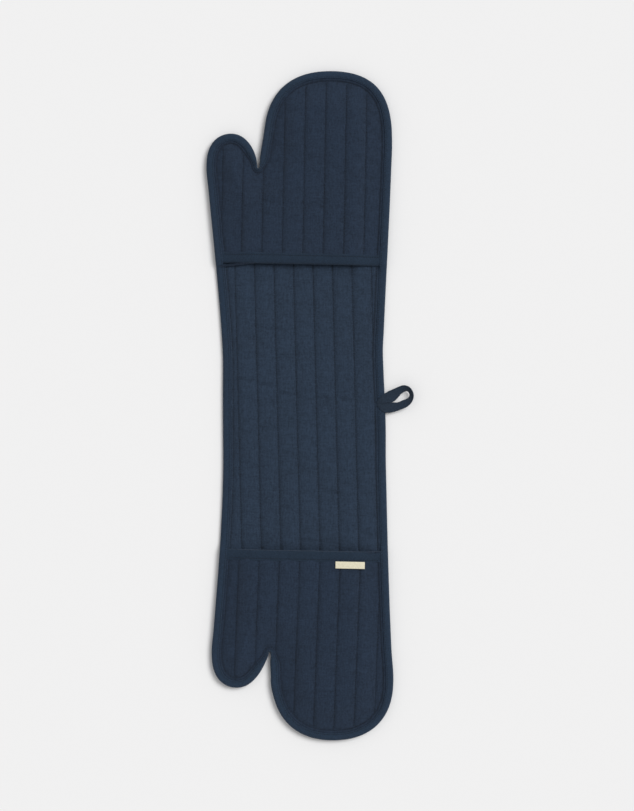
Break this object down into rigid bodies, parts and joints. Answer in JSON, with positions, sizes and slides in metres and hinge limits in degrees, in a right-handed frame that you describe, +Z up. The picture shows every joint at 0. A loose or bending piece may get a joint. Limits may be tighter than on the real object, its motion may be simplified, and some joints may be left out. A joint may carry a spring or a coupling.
{
  "type": "double oven mitt",
  "caption": "Long quilted cotton strip with a mitten-shaped hand pocket at each end, bound edges, a blank side label and a hanging loop.",
  "frame": {"origin": "on the flat underside of the strip, in the middle of its length and near the middle of its width", "axes": "+Y along the strip towards the end whose thumb sits lower beside the fingers, +X across it towards the hanging loop, +Z up out of the side that has the pockets"},
  "size_m": [0.2791, 0.9, 0.0179],
  "materials": {
    "face_cloth": "quilted navy cotton, fine plain weave",
    "binding_tape": "navy cotton bias tape, topstitched",
    "lining_cloth": "plain navy cotton",
    "wadding": "needled cotton wadding",
    "label_tape": "blank cream woven tape"
  },
  "bodies": {
    "centre_band": {"band_lining": "lining_cloth", "band_wadding": "wadding", "band_face": "face_cloth", "band_binding_left": "binding_tape", "band_binding_right": "binding_tape", "loop_tail": "binding_tape"},
    "upper_mitt": {"upper_back_lining": "lining_cloth", "upper_back_wadding": "wadding", "upper_back_face": "face_cloth", "upper_hand_lining": "lining_cloth", "upper_hand_wadding": "wadding", "upper_hand_outer": "face_cloth", "upper_binding_left": "binding_tape", "upper_binding_right": "binding_tape", "upper_binding_thumb": "binding_tape", "upper_binding_fingers": "binding_tape"},
    "lower_mitt": {"lower_back_lining": "lining_cloth", "lower_back_wadding": "wadding", "lower_back_face": "face_cloth", "lower_hand_lining": "lining_cloth", "lower_hand_wadding": "wadding", "lower_hand_outer": "face_cloth", "lower_binding_left": "binding_tape", "lower_binding_right": "binding_tape", "lower_binding_thumb": "binding_tape", "lower_binding_fingers": "binding_tape"},
    "upper_cuff": {"upper_cuff_lining": "lining_cloth", "upper_cuff_wadding": "wadding", "upper_cuff_outer": "face_cloth", "upper_mouth_binding": "binding_tape"},
    "lower_cuff": {"lower_cuff_lining": "lining_cloth", "lower_cuff_wadding": "wadding", "lower_cuff_outer": "face_cloth", "lower_mouth_binding": "binding_tape", "label": "label_tape"},
    "loop": {"hanging_loop": "binding_tape"}
  },
  "joints": [
    {"name": "fold_upper", "type": "hinge", "parent": "centre_band", "child": "upper_mitt", "pos_m": [0, 0.06, 0.003], "axis": [1, 0, 0], "range_deg": [-90, 90]},
    {"name": "fold_lower", "type": "hinge", "parent": "centre_band", "child": "lower_mitt", "pos_m": [0, -0.06, 0.003], "axis": [-1, 0, 0], "range_deg": [-90, 90]},
    {"name": "upper_cuff_open", "type": "hinge", "parent": "upper_mitt", "child": "upper_cuff", "pos_m": [0, 0.3, 0.0164], "axis": [-1, 0, 0], "range_deg": [0, 16]},
    {"name": "lower_cuff_open", "type": "hinge", "parent": "lower_mitt", "child": "lower_cuff", "pos_m": [0, -0.31, 0.0164], "axis": [1, 0, 0], "range_deg": [0, 16]},
    {"name": "loop_swing", "type": "hinge", "parent": "centre_band", "child": "loop", "pos_m": [0.1155, 0, 0.0083], "axis": [0, -1, 0], "range_deg": [-90, 90]}
  ]
}
